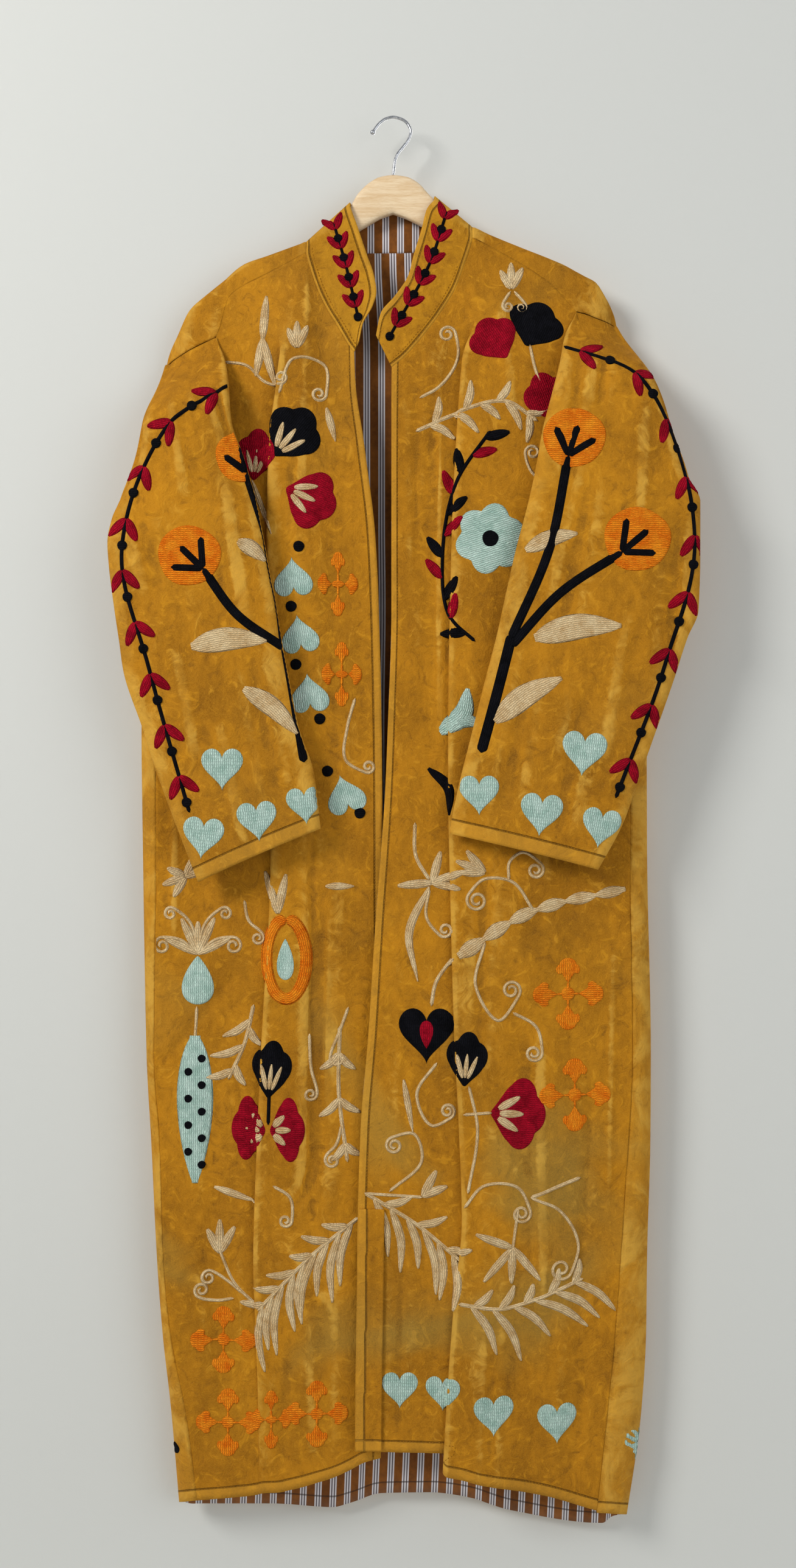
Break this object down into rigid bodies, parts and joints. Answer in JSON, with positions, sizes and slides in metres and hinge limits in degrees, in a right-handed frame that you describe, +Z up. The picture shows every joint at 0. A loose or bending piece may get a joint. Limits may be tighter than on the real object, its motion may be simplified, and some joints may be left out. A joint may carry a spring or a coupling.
{
  "type": "kimono robe on a hanger",
  "caption": "Long velvet kimono robe with stand collar, open front and long sleeves, hanging flat and hollow on a wooden hanger with a wire hook.",
  "frame": {"origin": "inner top of the hanger's hook, where a wall hook or rail bears", "axes": "+Z up, -Y out of the robe's front, +X to the viewer's right"},
  "size_m": [0.6184, 0.0693, 1.508],
  "materials": {
    "velvet": "mustard cotton velvet with wool chain-stitch embroidery",
    "lining": "plain-woven tan cotton with groups of three pale stripes",
    "wood": "pale smooth lacquered wood",
    "steel": "plated steel wire"
  },
  "bodies": {
    "root": {"front_left": "velvet", "front_right": "velvet", "front_right_tuck": "velvet", "back": "velvet", "sleeve_left": "velvet", "sleeve_right": "velvet", "collar": "velvet", "front_left_lining": "lining", "front_right_lining": "lining", "back_lining": "lining", "collar_lining": "lining", "cuff_left_lining": "lining", "cuff_right_lining": "lining", "hanger_bar": "wood", "hanger_hook": "steel"}
  },
  "joints": []
}
